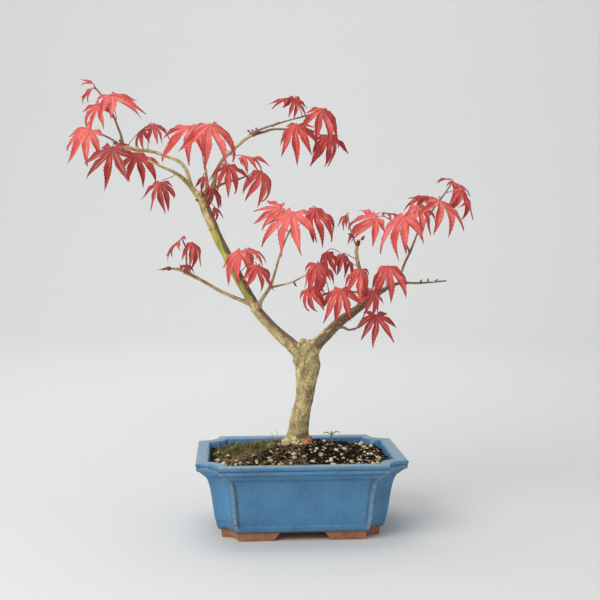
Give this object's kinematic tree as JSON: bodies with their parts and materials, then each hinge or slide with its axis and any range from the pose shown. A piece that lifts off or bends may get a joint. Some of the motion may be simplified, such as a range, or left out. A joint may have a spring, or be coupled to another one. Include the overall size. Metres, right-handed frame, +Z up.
{
  "type": "bonsai tree in a pot",
  "caption": "Young red-leaved Japanese maple bonsai with two spreading limbs, growing in a blue-glazed rectangular pot with indented corners and unglazed feet.",
  "frame": {"origin": "middle of the whole object's footprint, on the surface the pot stands on", "axes": "+Z up; +X along the pot's long side, towards the short right limb; -Y is the front"},
  "size_m": [0.4382, 0.154, 0.4627],
  "materials": {
    "blue_glaze": "satin",
    "soil": "matte",
    "bark": "matte",
    "red_leaf": "satin",
    "moss": "matte",
    "seedling_green": "satin",
    "screen_plastic": "matte"
  },
  "bodies": {
    "root": {"drain_screen_left": "screen_plastic", "drain_screen_right": "screen_plastic", "leaf_01": "red_leaf", "leaf_02": "red_leaf", "leaf_03": "red_leaf", "leaf_04": "red_leaf", "leaf_05": "red_leaf", "leaf_06": "red_leaf", "leaf_07": "red_leaf", "leaf_08": "red_leaf", "leaf_09": "red_leaf", "leaf_10": "red_leaf", "leaf_11": "red_leaf", "leaf_12": "red_leaf", "leaf_13": "red_leaf", "leaf_14": "red_leaf", "leaf_15": "red_leaf", "leaf_16": "red_leaf", "leaf_17": "red_leaf", "leaf_18": "red_leaf", "leaf_19": "red_leaf", "leaf_20": "red_leaf", "leaf_21": "red_leaf", "leaf_22": "red_leaf", "leaf_23": "red_leaf", "leaf_24": "red_leaf", "leaf_25": "red_leaf", "leaf_26": "red_leaf", "leaf_27": "red_leaf", "leaf_28": "red_leaf", "leaf_29": "red_leaf", "leaf_30": "red_leaf", "leaf_31": "red_leaf", "leaf_32": "red_leaf", "leaf_33": "red_leaf", "leaf_34": "red_leaf", "leaf_35": "red_leaf", "leaf_36": "red_leaf", "leaf_37": "red_leaf", "leaf_38": "red_leaf", "leaf_39": "red_leaf", "leaf_40": "red_leaf", "leaf_41": "red_leaf", "leaf_42": "red_leaf", "leaf_43": "red_leaf", "leaf_44": "red_leaf", "leaf_45": "red_leaf", "leaf_46": "red_leaf", "leaf_47": "red_leaf", "leaf_48": "red_leaf", "leaf_49": "red_leaf", "leaf_50": "red_leaf", "leaf_51": "red_leaf", "leaf_52": "red_leaf", "leaf_53": "red_leaf", "moss_patch": "moss", "pot": "blue_glaze", "seedling": "seedling_green", "soil": "soil", "trunk_and_branches": "bark"}
  },
  "joints": []
}
